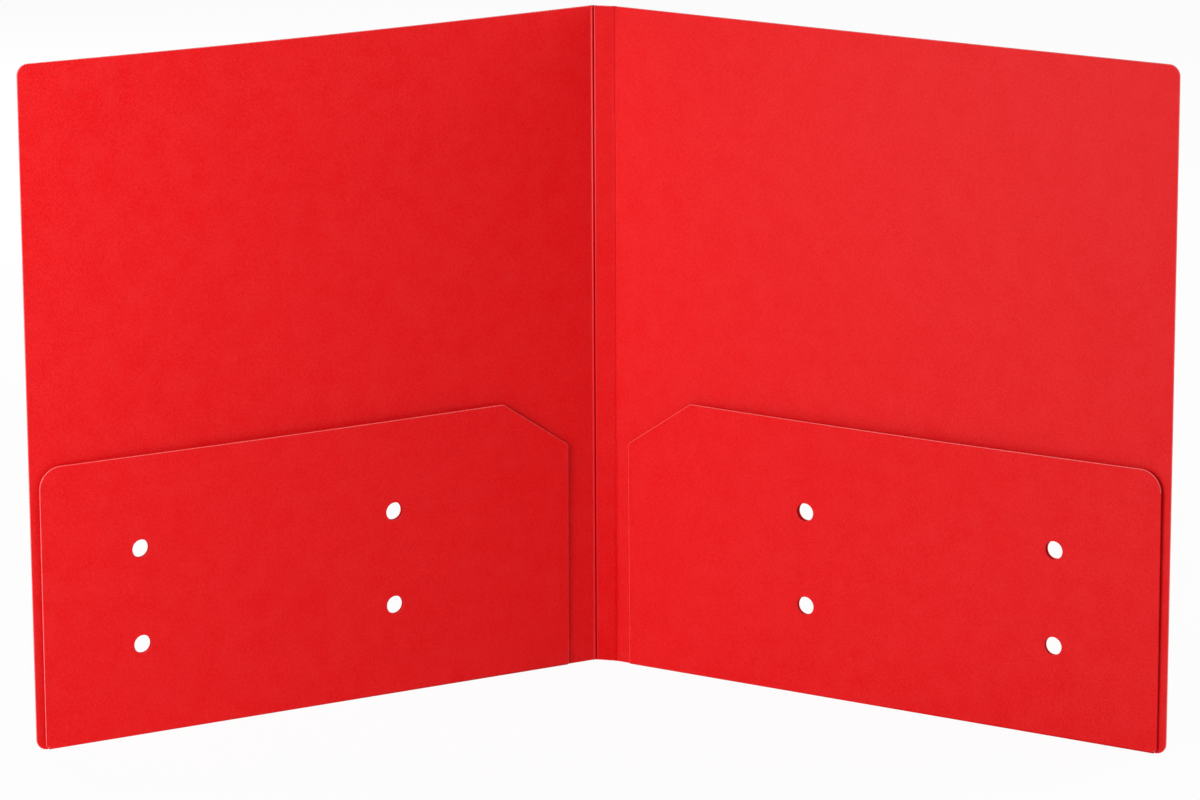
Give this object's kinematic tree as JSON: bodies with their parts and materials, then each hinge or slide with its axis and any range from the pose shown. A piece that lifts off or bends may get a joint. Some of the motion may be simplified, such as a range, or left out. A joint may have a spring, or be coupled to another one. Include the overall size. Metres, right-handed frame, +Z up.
{
  "type": "two pocket folder",
  "caption": "Open pocket folder of embossed plastic sheet: its covers turn on the scored creases of a narrow spine, and a flap folded up from each bottom edge makes a paper pocket.",
  "frame": {"origin": "on the surface that the folder stands on, under the middle of its bounding box", "axes": "+Z up along the creases, +X to the right of a reader who looks into the open folder, +Y back towards the spine"},
  "size_m": [0.472, 0.1364, 0.2921],
  "materials": {
    "red_sheet": "fine embossed grain, semi-matte red",
    "red_score": "smooth pressed score, red"
  },
  "bodies": {
    "spine": {"spine_panel": "red_sheet", "front_crease": "red_score", "back_crease": "red_score"},
    "front_cover": {"front_cover_panel": "red_sheet", "front_pocket_fold": "red_sheet"},
    "front_pocket": {"front_pocket_panel": "red_sheet"},
    "back_cover": {"back_cover_panel": "red_sheet", "back_pocket_fold": "red_sheet"},
    "back_pocket": {"back_pocket_panel": "red_sheet"}
  },
  "joints": [
    {"name": "front_cover_fold", "type": "hinge", "parent": "spine", "child": "front_cover", "pos_m": [-0.00487, 0.06771, 0], "axis": [0, 0, 1], "range_deg": [-133, 47]},
    {"name": "back_cover_fold", "type": "hinge", "parent": "spine", "child": "back_cover", "pos_m": [0.00487, 0.06545, 0], "axis": [0, 0, -1], "range_deg": [-107, 73]},
    {"name": "front_pocket_flex", "type": "hinge", "parent": "front_cover", "child": "front_pocket", "pos_m": [-0.01682, 0.06, 0.001], "axis": [0.866, 0.5, 0], "range_deg": [-0.3, 1.4], "stiffness_Nm_per_rad": 0.14},
    {"name": "back_pocket_flex", "type": "hinge", "parent": "back_cover", "child": "back_pocket", "pos_m": [0.01076, 0.06125, 0.001], "axis": [0.866, -0.5, 0], "range_deg": [-0.3, 1.4], "stiffness_Nm_per_rad": 0.14}
  ]
}
